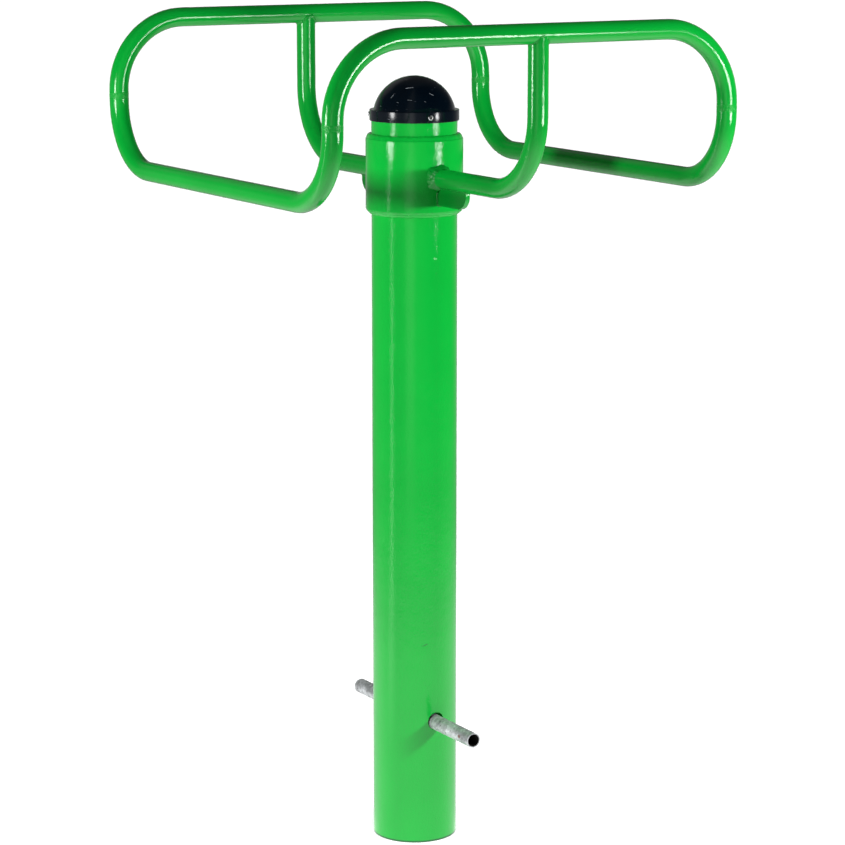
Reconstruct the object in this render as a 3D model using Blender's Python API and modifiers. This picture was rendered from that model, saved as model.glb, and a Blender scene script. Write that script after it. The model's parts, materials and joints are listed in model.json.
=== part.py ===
"""Outdoor leg stretcher.

A round steel post carries a thick collar near its top. Two tube arms grow out of the collar,
bend upward and hold a closed hoop of four bent rails: the front and rear rails run high, the
left and right rails run low, and each corner joins a high end to a low end.

Metres, +Z up. The origin is the middle of the post's bottom end. The high rails run along X,
the low rails and both arms run along Y, and the front is at -Y.
"""
import math

import bmesh
import bpy
from mathutils import Vector

# General clearances
TOUCH_GAP = 0.0003
OVERRUN = 0.010
MERGE_DISTANCE = 0.00001

# Post
POST_DIAMETER = 0.140
POST_WALL = 0.004
POST_LENGTH = 1.220

# Collar welded round the post
COLLAR_WALL = 0.0092
COLLAR_HEIGHT = 0.116
COLLAR_BELOW_POST_END = 0.043
UPPER_COLLAR_WELD_HEIGHT = 0.007
LOWER_COLLAR_WELD_HEIGHT = 0.0045
COLLAR_WELD_BULGE = 0.0008

# Tube of the rails and arms
TUBE_DIAMETER = 0.032
TUBE_WALL = 0.0025

# Hoop, between tube centre lines
HOOP_WIDTH = 0.710
HOOP_DEPTH = 0.730
HIGH_BEND_RADIUS = 0.118
LOW_BEND_RADIUS = 0.110
CORNER_STRAIGHT = 0.016

# Arms
ARM_BELOW_COLLAR_TOP = 0.060
ARM_BEND_RADIUS = 0.120

# Butt weld where a high rail's end meets a low rail's end
BUTT_WELD_WIDTH = 0.0140
BUTT_WELD_RISE = 0.0011
BUTT_ROOT_OPENING = 0.0026

# Weld bead round each arm's root, on the collar
ROOT_BEAD_RADIUS = 0.0050
ROOT_BEAD_STANDOFF = 0.0010

# Weld bead where each arm meets its high rail
SADDLE_BEAD_RADIUS = 0.0032
SADDLE_STANDOFF_ON_ARM = 0.0003
SADDLE_STANDOFF_ON_RAIL = 0.0010

# Gusset plate under each arm
GUSSET_THICKNESS = 0.008
GUSSET_REACH = 0.086
GUSSET_DEPTH = 0.0275
GUSSET_CORNER_RADIUS = 0.024
GUSSET_CORNER_LIMIT_SHARE = 0.9
GUSSET_BEAD_RADIUS = 0.0032
GUSSET_BEAD_STANDOFF = 0.0006

# Domed cap over the post's end
CAP_WALL = 0.0025
CAP_CLEARANCE = 0.0004
CAP_SKIRT_HEIGHT = 0.018
CAP_LEDGE_WIDTH = 0.0064
CAP_DOME_HEIGHT = 0.054
CAP_EDGE_CHAMFER = 0.0008

# Screws through the cap's skirt
SCREW_COUNT = 3
FIRST_SCREW_TURN_DEG = -100.0
SCREW_DIAMETER = 0.005
SCREW_LENGTH = 0.012
SCREW_HEAD_DIAMETER = 0.0088
SCREW_HEAD_HEIGHT = 0.0026
SCREW_RECESS_DIAMETER = 0.0034
SCREW_RECESS_DEPTH = 0.0014
SCREW_HEAD_CROWN_SHARES = ((0.55, 1.0), (0.82, 0.80), (1.0, 0.35))

# Anchor tube through the foot of the post
ANCHOR_DIAMETER = 0.025
ANCHOR_WALL = 0.002
ANCHOR_LENGTH = 0.372
ANCHOR_FORWARD_SHIFT = 0.002
ANCHOR_HEIGHT = 0.207
ANCHOR_HOLE_DIAMETER = 0.031

# Counts
POST_SIDES = 60
CAP_SIDES = 48
TUBE_SIDES = 24
BORE_SIDES = 10
BEAD_SIDES = 8
SADDLE_POINTS = 28
BEND_STEPS = 7
GUSSET_CORNER_STEPS = 6
BEAD_TURN_STEPS = 2
WELD_CROWN_STEPS = 3
FILLET_STEPS = 2
DOME_STEPS = 8
DOME_INNER_STEPS = 4
SCREW_SIDES = 12
HOLE_SIDES = 24
SMOOTH_LIMIT_DEG = 35.0
BEAD_TURN_SHARE = 0.8

# Finishes: colour (red, green, blue), roughness, metallic
GREEN_PAINT = ((0.004, 0.440, 0.060), 0.22, 0.0)
BLACK_GLOSS = ((0.006, 0.007, 0.010), 0.18, 0.0)
BRIGHT_STEEL = ((0.620, 0.625, 0.630), 0.30, 1.0)
GALVANISED = ((0.440, 0.455, 0.460), 0.48, 1.0)

# Sizes that follow from the ones above
TAU = 2.0 * math.pi
QUARTER = math.pi / 2.0
POST_RADIUS = POST_DIAMETER / 2.0
TUBE_RADIUS = TUBE_DIAMETER / 2.0
BORE_RADIUS = TUBE_RADIUS - TUBE_WALL
COLLAR_BORE_RADIUS = POST_RADIUS + TOUCH_GAP
COLLAR_RADIUS = COLLAR_BORE_RADIUS + COLLAR_WALL
COLLAR_TOP = POST_LENGTH - COLLAR_BELOW_POST_END
COLLAR_BOTTOM = COLLAR_TOP - COLLAR_HEIGHT
ARM_HEIGHT = COLLAR_TOP - ARM_BELOW_COLLAR_TOP
LOW_RAIL_HEIGHT = ARM_HEIGHT
HIGH_RAIL_HEIGHT = LOW_RAIL_HEIGHT + LOW_BEND_RADIUS + CORNER_STRAIGHT + HIGH_BEND_RADIUS
CORNER_JOINT_HEIGHT = LOW_RAIL_HEIGHT + LOW_BEND_RADIUS + CORNER_STRAIGHT / 2.0
HOOP_HALF_WIDTH = HOOP_WIDTH / 2.0
HOOP_HALF_DEPTH = HOOP_DEPTH / 2.0
ROOT_BEAD_PATH_RADIUS = TUBE_RADIUS + ROOT_BEAD_STANDOFF
ROOT_BEAD_REACH = ROOT_BEAD_STANDOFF + ROOT_BEAD_RADIUS + TOUCH_GAP
CLEAR_TUBE_RADIUS = TUBE_RADIUS + TOUCH_GAP
CLEAR_COLLAR_RADIUS = COLLAR_RADIUS + TOUCH_GAP
CAP_SEAT = POST_LENGTH + TOUCH_GAP
CAP_RIM_TOP = CAP_SEAT + CAP_WALL
CAP_RIM_BOTTOM = CAP_RIM_TOP - CAP_SKIRT_HEIGHT
CAP_BORE_RADIUS = POST_RADIUS + CAP_CLEARANCE
CAP_RADIUS = CAP_BORE_RADIUS + CAP_WALL
SCREW_RADIUS = SCREW_DIAMETER / 2.0
SCREW_HEIGHT = (CAP_RIM_TOP + CAP_RIM_BOTTOM) / 2.0
ANCHOR_RADIUS = ANCHOR_DIAMETER / 2.0
ANCHOR_HOLE_RADIUS = ANCHOR_HOLE_DIAMETER / 2.0
ANCHOR_HOLE_HEIGHT = ANCHOR_HEIGHT - ANCHOR_RADIUS - TOUCH_GAP + ANCHOR_HOLE_RADIUS


def clear_scene():
    for item in list(bpy.data.objects):
        bpy.data.objects.remove(item, do_unlink=True)


def new_collection(name):
    group = bpy.data.collections.new(name)
    bpy.context.scene.collection.children.link(group)
    return group


clear_scene()
PARTS = new_collection("outdoor_leg_stretcher")
CUTTERS = new_collection("cutters")


def finish_material(name, finish):
    colour, roughness, metallic = finish
    material = bpy.data.materials.new(name)
    material.use_nodes = True
    shader = material.node_tree.nodes["Principled BSDF"]
    shader.inputs["Base Color"].default_value = (*colour, 1.0)
    shader.inputs["Roughness"].default_value = roughness
    shader.inputs["Metallic"].default_value = metallic
    material.diffuse_color = (*colour, 1.0)
    return material


def add_object(name, data, holder, spot=(0.0, 0.0, 0.0), turn=(0.0, 0.0, 0.0), group=None):
    item = bpy.data.objects.new(name, data)
    (group or PARTS).objects.link(item)
    item.parent = holder
    item.location = spot
    item.rotation_euler = turn
    return item


def weld_caps(mesh):
    work = bmesh.new()
    work.from_mesh(mesh)
    bmesh.ops.remove_doubles(work, verts=work.verts, dist=MERGE_DISTANCE)
    work.to_mesh(mesh)
    work.free()


def as_mesh(item):
    """Replace an object by the plain mesh that its curve or modifiers give, in its place."""
    bpy.context.view_layer.update()
    seen = item.evaluated_get(bpy.context.evaluated_depsgraph_get())
    mesh = bpy.data.meshes.new_from_object(seen)
    if item.type == "CURVE":
        weld_caps(mesh)
    name = item.name
    group = item.users_collection[0]
    holder, spot, turn = item.parent, item.location.copy(), item.rotation_euler.copy()
    bpy.data.objects.remove(item, do_unlink=True)
    mesh.name = name
    return add_object(name, mesh, holder, spot, turn, group)


def cut(item, cutter):
    modifier = item.modifiers.new(cutter.name, "BOOLEAN")
    modifier.operation = "DIFFERENCE"
    modifier.solver = "EXACT"
    modifier.object = cutter


def finished(item, finish):
    """Settle the cuts, shade the round faces smooth and give the piece its own material."""
    piece = as_mesh(item)
    piece.data.materials.clear()
    piece.data.materials.append(finish_material(piece.name + "_finish", finish))
    piece.data.shade_smooth()
    piece.data.set_sharp_from_angle(angle=math.radians(SMOOTH_LIMIT_DEG))
    return piece


def as_cutter(item):
    for group in list(item.users_collection):
        group.objects.unlink(item)
    CUTTERS.objects.link(item)
    item.hide_render = True
    item.display_type = "WIRE"
    return item


def rod(name, radius, length, sides, holder, spot, turn=(0.0, 0.0, 0.0)):
    """A solid cylinder about its own Z axis, centred on the spot."""
    work = bmesh.new()
    bmesh.ops.create_cone(work, cap_ends=True, segments=sides, radius1=radius, radius2=radius,
                          depth=length)
    mesh = bpy.data.meshes.new(name)
    work.to_mesh(mesh)
    work.free()
    return add_object(name, mesh, holder, spot, turn)


def block(name, low, high, holder):
    """A solid box between two corners."""
    low, high = Vector(low), Vector(high)
    work = bmesh.new()
    bmesh.ops.create_cube(work, size=1.0)
    bmesh.ops.scale(work, vec=high - low, verts=work.verts)
    mesh = bpy.data.meshes.new(name)
    work.to_mesh(mesh)
    work.free()
    return add_object(name, mesh, holder, (low + high) / 2.0)


def turned(name, profile, sides, holder, spot=(0.0, 0.0, 0.0), turn=(0.0, 0.0, 0.0),
           ring=True):
    """Turn a profile of (radius, height) points about Z. A ring's profile closes on itself."""
    count = len(profile)
    edges = [(i, (i + 1) % count) for i in range(count if ring else count - 1)]
    mesh = bpy.data.meshes.new(name)
    mesh.from_pydata([(radius, 0.0, height) for radius, height in profile], edges, [])
    item = add_object(name, mesh, holder, spot, turn)
    screw = item.modifiers.new("turn", "SCREW")
    screw.axis = "Z"
    screw.angle = TAU
    screw.steps = sides
    screw.render_steps = sides
    screw.use_merge_vertices = True
    screw.merge_threshold = MERGE_DISTANCE
    return item


def tube_along(name, path, radius, sides, holder, closed=False):
    """A solid round bar along a path of points."""
    curve = bpy.data.curves.new(name, "CURVE")
    curve.dimensions = "3D"
    curve.bevel_depth = radius
    curve.bevel_resolution = sides // 2 - 2
    curve.use_fill_caps = not closed
    spline = curve.splines.new("POLY")
    spline.points.add(len(path) - 1)
    for point, place in zip(spline.points, path):
        point.co = (*place, 1.0)
    spline.use_cyclic_u = closed
    return as_mesh(add_object(name, curve, holder))


def plate(name, outline, thickness, holder, turn):
    """A flat plate with the given outline, centred on its own XY plane."""
    curve = bpy.data.curves.new(name, "CURVE")
    curve.dimensions = "2D"
    curve.fill_mode = "BOTH"
    curve.extrude = thickness / 2.0
    spline = curve.splines.new("POLY")
    spline.points.add(len(outline) - 1)
    for point, (across, up) in zip(spline.points, outline):
        point.co = (across, up, 0.0, 1.0)
    spline.use_cyclic_u = True
    return as_mesh(add_object(name, curve, holder, (0.0, 0.0, 0.0), turn))


def bent_path(corners, radius, steps):
    """A path through the corners, each inner corner rounded by an arc of the given radius."""
    corners = [Vector(corner) for corner in corners]
    path = [corners[0]]
    for before, corner, after in zip(corners, corners[1:], corners[2:]):
        back = (before - corner).normalized()
        ahead = (after - corner).normalized()
        half = back.angle(ahead) / 2.0
        centre = corner + (back + ahead).normalized() * radius / math.sin(half)
        first = corner + back * radius / math.tan(half) - centre
        last = corner + ahead * radius / math.tan(half) - centre
        sweep = math.pi - 2.0 * half
        for step in range(steps + 1):
            turn = sweep * step / steps
            place = first * math.sin(sweep - turn) + last * math.sin(turn)
            path.append(centre + place / math.sin(sweep))
    path.append(corners[-1])
    return path


def stretched(path, length):
    """The same path with both ends carried on by the length."""
    head = path[0] + (path[0] - path[1]).normalized() * length
    tail = path[-1] + (path[-1] - path[-2]).normalized() * length
    return [head, *path[1:-1], tail]


def hollow_tube(name, path, holder, notches=()):
    """A rail's or an arm's tube, its ends notched and its bore cut right through."""
    tube = tube_along(name, path, TUBE_RADIUS, TUBE_SIDES, holder)
    for notch in notches:
        cut(tube, notch)
    bore_path = stretched(path, OVERRUN)
    bore = tube_along(name + "_bore", bore_path, BORE_RADIUS, BORE_SIDES, holder)
    cut(tube, as_cutter(bore))
    return tube


def ring_profile(inner, outer, bottom, top):
    return [(inner, top), (outer, top), (outer, bottom), (inner, bottom)]


# Post, collar and what closes the post

def build_post(screw_holes):
    profile = ring_profile(POST_RADIUS - POST_WALL, POST_RADIUS, 0.0, POST_LENGTH)
    post = turned("post", profile, POST_SIDES, None)
    anchor_hole = rod("anchor_hole", ANCHOR_HOLE_RADIUS, POST_DIAMETER + OVERRUN, HOLE_SIDES,
                      None, (0.0, 0.0, ANCHOR_HOLE_HEIGHT), (QUARTER, 0.0, 0.0))
    cut(post, as_cutter(anchor_hole))
    for hole in screw_holes:
        cut(post, hole)
    finished(post, GREEN_PAINT)


def build_collar():
    profile = ring_profile(COLLAR_BORE_RADIUS, COLLAR_RADIUS, COLLAR_BOTTOM, COLLAR_TOP)
    finished(turned("collar_sleeve", profile, POST_SIDES, None), GREEN_PAINT)


def collar_weld_slope(height):
    """Points of the fillet's sloped face, from the post's surface to the collar's edge."""
    slope = []
    for step in range(FILLET_STEPS + 1):
        share = step / FILLET_STEPS
        swell = COLLAR_WELD_BULGE * math.sin(math.pi * share)
        radius = COLLAR_BORE_RADIUS + COLLAR_WALL * share + swell
        slope.append((radius, height * (1.0 - share) + swell))
    return slope


def build_collar_welds():
    slope = collar_weld_slope(UPPER_COLLAR_WELD_HEIGHT)
    seat = COLLAR_TOP + TOUCH_GAP
    upper = [(radius, seat + rise) for radius, rise in slope] + [(COLLAR_BORE_RADIUS, seat)]
    finished(turned("collar_weld_upper", upper, POST_SIDES, None), GREEN_PAINT)
    slope = collar_weld_slope(LOWER_COLLAR_WELD_HEIGHT)
    seat = COLLAR_BOTTOM - TOUCH_GAP
    lower = [(COLLAR_BORE_RADIUS, seat)]
    lower += [(radius, seat - rise) for radius, rise in reversed(slope)]
    finished(turned("collar_weld_lower", lower, POST_SIDES, None), GREEN_PAINT)


def dome_arc(base_radius, base_height, centre_height, top_height, steps):
    """Points of a dome's side, from the top on the axis down to its base."""
    radius = top_height - centre_height
    lowest = math.atan2(base_radius, base_height - centre_height)
    points = [(0.0, top_height)]
    for step in range(1, steps):
        turn = lowest * step / steps
        points.append((radius * math.sin(turn), centre_height + radius * math.cos(turn)))
    points.append((base_radius, base_height))
    return points


def build_cap(screw_holes):
    base_radius = CAP_RADIUS - CAP_LEDGE_WIDTH
    dome_top = CAP_RIM_TOP + CAP_DOME_HEIGHT
    dome_radius = (base_radius ** 2 + CAP_DOME_HEIGHT ** 2) / (2.0 * CAP_DOME_HEIGHT)
    centre = dome_top - dome_radius
    inner_radius = dome_radius - CAP_WALL
    inner_base = math.sqrt(inner_radius ** 2 - (CAP_SEAT - centre) ** 2)
    profile = dome_arc(base_radius, CAP_RIM_TOP, centre, dome_top, DOME_STEPS)
    profile += [
        (CAP_RADIUS - CAP_EDGE_CHAMFER, CAP_RIM_TOP),
        (CAP_RADIUS, CAP_RIM_TOP - CAP_EDGE_CHAMFER),
        (CAP_RADIUS, CAP_RIM_BOTTOM),
        (CAP_BORE_RADIUS, CAP_RIM_BOTTOM),
        (CAP_BORE_RADIUS, CAP_SEAT),
    ]
    inside = dome_arc(inner_base, CAP_SEAT, centre, dome_top - CAP_WALL, DOME_INNER_STEPS)
    cap = turned("dome_cap", profile + inside[::-1], CAP_SIDES, None, ring=False)
    for hole in screw_holes:
        cut(cap, hole)
    finished(cap, BLACK_GLOSS)


def screw_turns():
    first = math.radians(FIRST_SCREW_TURN_DEG)
    return [first + TAU * number / SCREW_COUNT for number in range(SCREW_COUNT)]


def outward(turn, radius, height):
    return (radius * math.cos(turn), radius * math.sin(turn), height)


def build_screw_holes():
    length = SCREW_LENGTH + OVERRUN
    holes = []
    for number, turn in enumerate(screw_turns(), 1):
        spot = outward(turn, CAP_RADIUS - SCREW_LENGTH / 2.0, SCREW_HEIGHT)
        hole = rod(f"screw_hole_{number}", SCREW_RADIUS + TOUCH_GAP, length, SCREW_SIDES,
                   None, spot, (0.0, QUARTER, turn))
        holes.append(as_cutter(hole))
    return holes


def build_screws():
    head_radius = SCREW_HEAD_DIAMETER / 2.0
    recess_radius = SCREW_RECESS_DIAMETER / 2.0
    top = TOUCH_GAP + SCREW_HEAD_HEIGHT
    profile = [(0.0, top - SCREW_RECESS_DEPTH), (recess_radius, top - SCREW_RECESS_DEPTH)]
    profile.append((recess_radius, top))
    for across, up in SCREW_HEAD_CROWN_SHARES:
        profile.append((head_radius * across, TOUCH_GAP + SCREW_HEAD_HEIGHT * up))
    profile += [(head_radius, TOUCH_GAP), (SCREW_RADIUS, TOUCH_GAP)]
    profile += [(SCREW_RADIUS, -SCREW_LENGTH), (0.0, -SCREW_LENGTH)]
    for number, turn in enumerate(screw_turns(), 1):
        screw = turned(f"cap_screw_{number}", profile, SCREW_SIDES, None,
                       outward(turn, CAP_RADIUS, SCREW_HEIGHT), (0.0, QUARTER, turn),
                       ring=False)
        finished(screw, BRIGHT_STEEL)


def build_anchor():
    half = ANCHOR_LENGTH / 2.0
    profile = ring_profile(ANCHOR_RADIUS - ANCHOR_WALL, ANCHOR_RADIUS, -half, half)
    spot = (0.0, -ANCHOR_FORWARD_SHIFT, ANCHOR_HEIGHT)
    anchor = turned("anchor_tube", profile, HOLE_SIDES, None, spot, (QUARTER, 0.0, 0.0))
    finished(anchor, GALVANISED)


# One side: a high rail, its arm and gusset, and the low rail and corners next to it

def build_high_rail(name, side):
    end = CORNER_JOINT_HEIGHT + BUTT_ROOT_OPENING / 2.0
    path = bent_path([
        (-HOOP_HALF_WIDTH, -HOOP_HALF_DEPTH, end),
        (-HOOP_HALF_WIDTH, -HOOP_HALF_DEPTH, HIGH_RAIL_HEIGHT),
        (HOOP_HALF_WIDTH, -HOOP_HALF_DEPTH, HIGH_RAIL_HEIGHT),
        (HOOP_HALF_WIDTH, -HOOP_HALF_DEPTH, end),
    ], HIGH_BEND_RADIUS, BEND_STEPS)
    finished(hollow_tube(name, path, side), GREEN_PAINT)


def build_low_rail(name, side):
    end = CORNER_JOINT_HEIGHT - BUTT_ROOT_OPENING / 2.0
    path = bent_path([
        (-HOOP_HALF_WIDTH, -HOOP_HALF_DEPTH, end),
        (-HOOP_HALF_WIDTH, -HOOP_HALF_DEPTH, LOW_RAIL_HEIGHT),
        (-HOOP_HALF_WIDTH, HOOP_HALF_DEPTH, LOW_RAIL_HEIGHT),
        (-HOOP_HALF_WIDTH, HOOP_HALF_DEPTH, end),
    ], LOW_BEND_RADIUS, BEND_STEPS)
    finished(hollow_tube(name, path, side), GREEN_PAINT)


def build_corner_weld(name, side, across):
    """A crowned ring over the joint, with a root that reaches between the two tube ends."""
    half_width = BUTT_WELD_WIDTH / 2.0
    half_root = BUTT_ROOT_OPENING / 2.0 - TOUCH_GAP
    profile = []
    for step in range(WELD_CROWN_STEPS + 1):
        turn = math.pi * step / WELD_CROWN_STEPS
        rise = BUTT_WELD_RISE * math.sin(turn)
        profile.append((CLEAR_TUBE_RADIUS + rise, half_width * math.cos(turn)))
    profile += [
        (CLEAR_TUBE_RADIUS, -half_root),
        (BORE_RADIUS, -half_root),
        (BORE_RADIUS, half_root),
        (CLEAR_TUBE_RADIUS, half_root),
    ]
    spot = (across * HOOP_HALF_WIDTH, -HOOP_HALF_DEPTH, CORNER_JOINT_HEIGHT)
    finished(turned(name, profile, TUBE_SIDES, side, spot), GREEN_PAINT)


def build_arm(name, side, collar_body, rail_body):
    start = COLLAR_RADIUS - COLLAR_WALL / 2.0
    path = bent_path([
        (0.0, -start, ARM_HEIGHT),
        (0.0, -HOOP_HALF_DEPTH, ARM_HEIGHT),
        (0.0, -HOOP_HALF_DEPTH, HIGH_RAIL_HEIGHT),
    ], ARM_BEND_RADIUS, BEND_STEPS)
    arm = hollow_tube(name, path, side, (collar_body, rail_body))
    finished(arm, GREEN_PAINT)


def build_root_weld(name, side, collar_body, arm_body):
    """A bead on the curve where the arm's round meets the collar's round."""
    on_collar = COLLAR_RADIUS + ROOT_BEAD_STANDOFF
    path = []
    for number in range(SADDLE_POINTS):
        turn = TAU * number / SADDLE_POINTS
        across = ROOT_BEAD_PATH_RADIUS * math.cos(turn)
        out = math.sqrt(on_collar ** 2 - across ** 2)
        path.append((across, -out, ARM_HEIGHT + ROOT_BEAD_PATH_RADIUS * math.sin(turn)))
    bead = tube_along(name, path, ROOT_BEAD_RADIUS, BEAD_SIDES, side, closed=True)
    cut(bead, collar_body)
    cut(bead, arm_body)
    finished(bead, GREEN_PAINT)


def build_rail_weld(name, side, rail_body, arm_end_body):
    """A bead on the saddle curve where the arm's upper end meets the rail from below."""
    on_arm = TUBE_RADIUS + SADDLE_STANDOFF_ON_ARM
    on_rail = TUBE_RADIUS + SADDLE_STANDOFF_ON_RAIL
    path = []
    for number in range(SADDLE_POINTS):
        turn = TAU * number / SADDLE_POINTS
        out = on_arm * math.sin(turn)
        drop = math.sqrt(on_rail ** 2 - out ** 2)
        path.append((on_arm * math.cos(turn), -HOOP_HALF_DEPTH + out, HIGH_RAIL_HEIGHT - drop))
    bead = tube_along(name, path, SADDLE_BEAD_RADIUS, BEAD_SIDES, side, closed=True)
    cut(bead, rail_body)
    cut(bead, arm_end_body)
    finished(bead, GREEN_PAINT)


def gusset_outline():
    """The plate's outline: across is the distance from the post's axis, up is from the arm's."""
    inner = CLEAR_COLLAR_RADIUS
    outer = COLLAR_RADIUS + GUSSET_REACH
    top = -CLEAR_TUBE_RADIUS
    bottom = -TUBE_RADIUS - GUSSET_DEPTH
    notch = math.sqrt(2.0) * (math.sqrt(2.0) * ROOT_BEAD_STANDOFF + ROOT_BEAD_RADIUS + TOUCH_GAP)
    corner = min(GUSSET_CORNER_RADIUS, GUSSET_CORNER_LIMIT_SHARE * (top - bottom))
    outline = [(inner, bottom)]
    for step in range(GUSSET_CORNER_STEPS + 1):
        turn = QUARTER * step / GUSSET_CORNER_STEPS
        across = outer - corner + corner * math.sin(turn)
        outline.append((across, bottom + corner - corner * math.cos(turn)))
    outline += [(outer, top), (inner + notch, top), (inner, top - notch)]
    return outline


def build_gusset(name, side):
    outline = [(across, ARM_HEIGHT + up) for across, up in gusset_outline()]
    gusset = plate(name, outline, GUSSET_THICKNESS, side, (QUARTER, 0.0, -QUARTER))
    finished(gusset, GREEN_PAINT)


def build_gusset_collar_weld(name, side, collar_body, gusset_body):
    """A bead down one face of the plate, round its lower edge and up the other face."""
    beside = GUSSET_THICKNESS / 2.0 + GUSSET_BEAD_STANDOFF
    top = ARM_HEIGHT - TUBE_RADIUS - ROOT_BEAD_REACH
    bottom = ARM_HEIGHT - TUBE_RADIUS - GUSSET_DEPTH - GUSSET_BEAD_STANDOFF
    on_collar = COLLAR_RADIUS + GUSSET_BEAD_STANDOFF
    loop = bent_path([
        (beside, 0.0, top),
        (beside, 0.0, bottom),
        (-beside, 0.0, bottom),
        (-beside, 0.0, top),
    ], beside * BEAD_TURN_SHARE, BEAD_TURN_STEPS)
    path = [(p.x, -math.sqrt(on_collar ** 2 - p.x ** 2), p.z) for p in loop]
    bead = tube_along(name, path, GUSSET_BEAD_RADIUS, BEAD_SIDES, side)
    cut(bead, collar_body)
    cut(bead, gusset_body)
    finished(bead, GREEN_PAINT)


def build_gusset_arm_weld(name, side, arm_body, gusset_body):
    """A bead out along one face of the plate, round its outer edge and back along the other."""
    beside = GUSSET_THICKNESS / 2.0 + GUSSET_BEAD_STANDOFF
    near = COLLAR_RADIUS + ROOT_BEAD_REACH
    far = COLLAR_RADIUS + GUSSET_REACH + GUSSET_BEAD_STANDOFF
    on_arm = TUBE_RADIUS + GUSSET_BEAD_STANDOFF
    loop = bent_path([
        (beside, -near, 0.0),
        (beside, -far, 0.0),
        (-beside, -far, 0.0),
        (-beside, -near, 0.0),
    ], beside * BEAD_TURN_SHARE, BEAD_TURN_STEPS)
    path = [(p.x, p.y, ARM_HEIGHT - math.sqrt(on_arm ** 2 - p.x ** 2)) for p in loop]
    bead = tube_along(name, path, GUSSET_BEAD_RADIUS, BEAD_SIDES, side)
    cut(bead, arm_body)
    cut(bead, gusset_body)
    finished(bead, GREEN_PAINT)


def build_side(label, turn, left, right):
    """The pieces of the front side, turned about the post's axis to the wanted side."""
    side = add_object(label + "_side", None, None, (0.0, 0.0, 0.0), (0.0, 0.0, turn))
    reach = HOOP_HALF_DEPTH - COLLAR_RADIUS
    collar_body = as_cutter(rod(label + "_collar_body", CLEAR_COLLAR_RADIUS,
                                COLLAR_HEIGHT + OVERRUN, POST_SIDES, side,
                                (0.0, 0.0, (COLLAR_TOP + COLLAR_BOTTOM) / 2.0)))
    rail_body = as_cutter(rod(label + "_rail_body", CLEAR_TUBE_RADIUS, HOOP_HALF_WIDTH,
                              TUBE_SIDES, side, (0.0, -HOOP_HALF_DEPTH, HIGH_RAIL_HEIGHT),
                              (0.0, QUARTER, 0.0)))
    arm_body = as_cutter(rod(label + "_arm_body", CLEAR_TUBE_RADIUS, reach, TUBE_SIDES, side,
                             (0.0, -COLLAR_BORE_RADIUS - reach / 2.0, ARM_HEIGHT),
                             (QUARTER, 0.0, 0.0)))
    upright = HIGH_RAIL_HEIGHT - ARM_HEIGHT - ARM_BEND_RADIUS
    arm_end_body = as_cutter(rod(label + "_arm_end_body", CLEAR_TUBE_RADIUS, upright,
                                 TUBE_SIDES, side,
                                 (0.0, -HOOP_HALF_DEPTH, HIGH_RAIL_HEIGHT - upright / 2.0)))
    half_gap = GUSSET_THICKNESS / 2.0 + TOUCH_GAP
    gusset_body = as_cutter(block(label + "_gusset_body",
                                  (-half_gap, -COLLAR_RADIUS - GUSSET_REACH - TOUCH_GAP,
                                   ARM_HEIGHT - TUBE_RADIUS - GUSSET_DEPTH - TOUCH_GAP),
                                  (half_gap, 0.0, ARM_HEIGHT), side))
    build_high_rail(label + "_top_rail", side)
    build_low_rail(left + "_low_rail", side)
    build_corner_weld(f"{label}_{left}_corner_weld", side, -1.0)
    build_corner_weld(f"{label}_{right}_corner_weld", side, 1.0)
    build_arm(label + "_arm", side, collar_body, rail_body)
    build_root_weld(label + "_arm_root_weld", side, collar_body, arm_body)
    build_rail_weld(label + "_rail_weld", side, rail_body, arm_end_body)
    build_gusset(label + "_gusset", side)
    build_gusset_collar_weld(label + "_gusset_collar_weld", side, collar_body, gusset_body)
    build_gusset_arm_weld(label + "_gusset_arm_weld", side, arm_body, gusset_body)


def build_all():
    screw_holes = build_screw_holes()
    build_post(screw_holes)
    build_collar()
    build_collar_welds()
    build_cap(screw_holes)
    build_screws()
    build_anchor()
    build_side("front", 0.0, "left", "right")
    build_side("rear", math.pi, "right", "left")


build_all()
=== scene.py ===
"""Outdoor leg stretcher, dressed for its photograph.

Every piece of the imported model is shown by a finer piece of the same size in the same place:
smooth bent tubes, rippled weld beads, a moulded cap, socket screws and a galvanised anchor tube.
Metres, +Z up. The front is at -Y, and the origin is the middle of the post's bottom end.
"""
import json
import math

import bmesh
import bpy
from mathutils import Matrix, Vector, noise

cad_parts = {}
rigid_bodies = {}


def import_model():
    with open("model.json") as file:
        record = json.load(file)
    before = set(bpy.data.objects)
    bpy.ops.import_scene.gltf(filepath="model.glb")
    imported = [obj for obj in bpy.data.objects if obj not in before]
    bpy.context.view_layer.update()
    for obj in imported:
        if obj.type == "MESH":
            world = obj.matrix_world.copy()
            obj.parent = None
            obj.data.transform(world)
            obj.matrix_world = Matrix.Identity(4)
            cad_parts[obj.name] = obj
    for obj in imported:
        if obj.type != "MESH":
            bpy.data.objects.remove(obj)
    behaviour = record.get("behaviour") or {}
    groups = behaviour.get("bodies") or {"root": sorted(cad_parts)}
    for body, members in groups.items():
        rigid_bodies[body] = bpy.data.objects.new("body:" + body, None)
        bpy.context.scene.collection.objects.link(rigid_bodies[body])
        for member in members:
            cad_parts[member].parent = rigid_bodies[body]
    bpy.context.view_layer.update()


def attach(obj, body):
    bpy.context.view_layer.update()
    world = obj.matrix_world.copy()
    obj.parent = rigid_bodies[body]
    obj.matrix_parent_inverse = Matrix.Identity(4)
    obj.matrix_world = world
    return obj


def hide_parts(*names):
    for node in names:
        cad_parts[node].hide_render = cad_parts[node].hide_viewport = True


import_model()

TAU = 2.0 * math.pi
QUARTER = math.pi / 2.0
UP = Vector((0.0, 0.0, 1.0))

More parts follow.
